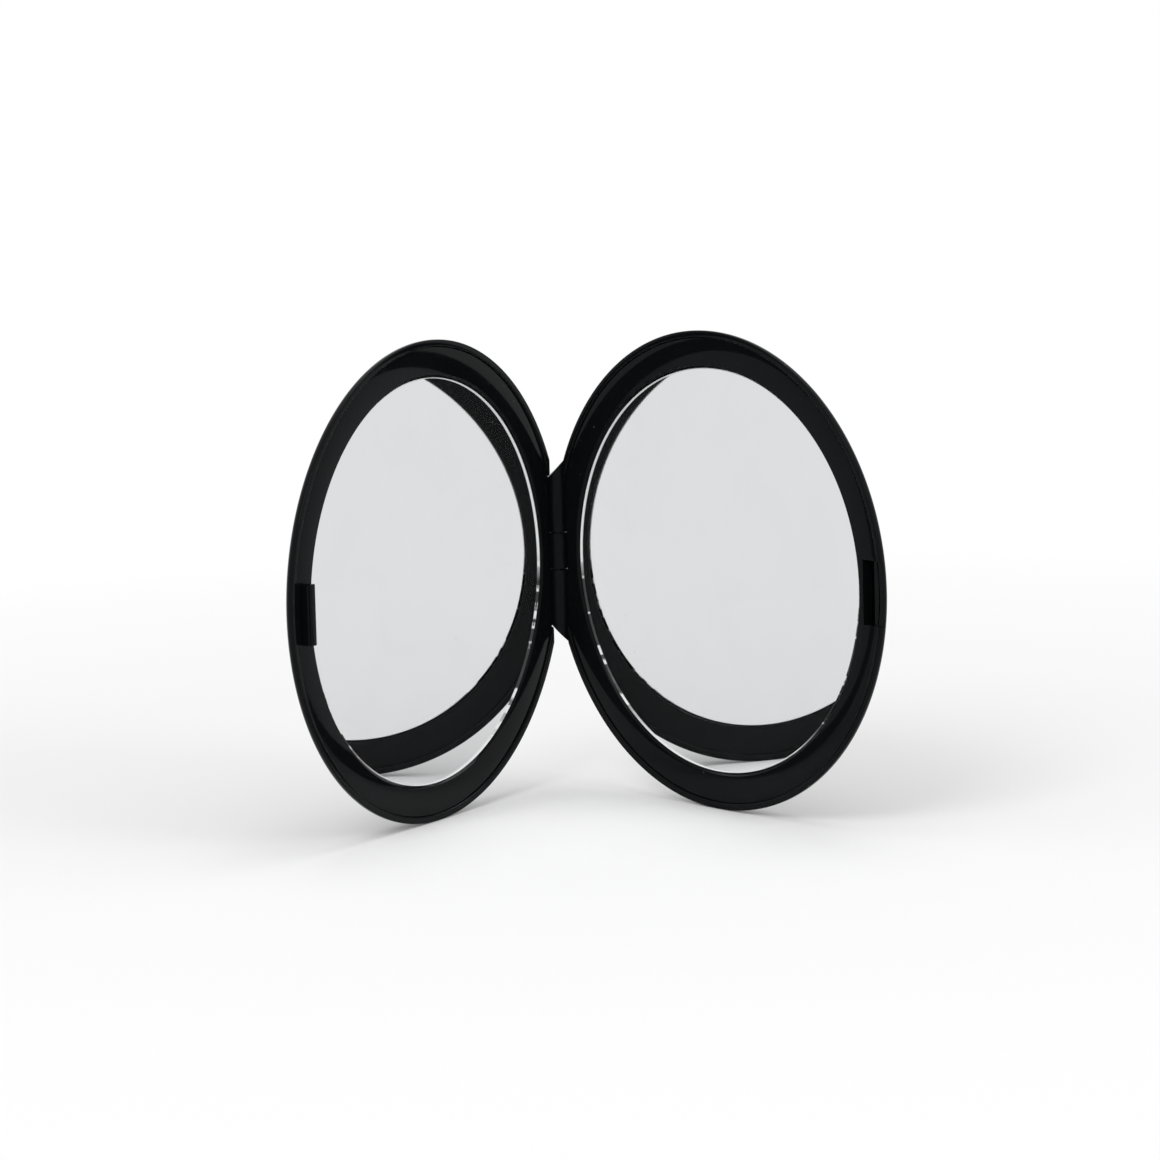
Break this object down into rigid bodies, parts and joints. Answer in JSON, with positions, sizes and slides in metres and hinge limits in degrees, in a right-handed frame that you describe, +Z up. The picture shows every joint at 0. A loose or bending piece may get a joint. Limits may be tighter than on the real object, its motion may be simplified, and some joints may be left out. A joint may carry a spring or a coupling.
{
  "type": "compact mirror",
  "caption": "Round folding pocket mirror in glossy black plastic, a glass mirror in each half, with a pinned hinge and a snap latch; stands open like a book.",
  "frame": {"origin": "on the floor, midway between the front of the two rims and the back of the hinge, on the plane midway between the halves", "axes": "+Z up along the hinge axis, +X from the lid to the base, +Y from the open side to the hinge"},
  "size_m": [0.0844, 0.0562, 0.07],
  "materials": {
    "black_plastic": "high-gloss black moulded plastic, fine hairline scratches",
    "mirror_glass": "silvered float glass, faint smudges",
    "foam_pad": "white double-sided foam pad",
    "pin_steel": "drawn steel wire, ends cut square"
  },
  "bodies": {
    "base": {"base_cover": "black_plastic", "base_frame": "black_plastic", "base_mirror": "mirror_glass", "base_mirror_pad": "foam_pad", "hinge_pin": "pin_steel"},
    "lid": {"lid_cover": "black_plastic", "lid_frame": "black_plastic", "lid_mirror": "mirror_glass", "lid_mirror_pad": "foam_pad"}
  },
  "joints": [
    {"name": "lid_hinge", "type": "hinge", "parent": "base", "child": "lid", "pos_m": [0, 0.02663, 0.035], "axis": [0, 0, -1], "range_deg": [-74, 106]}
  ]
}
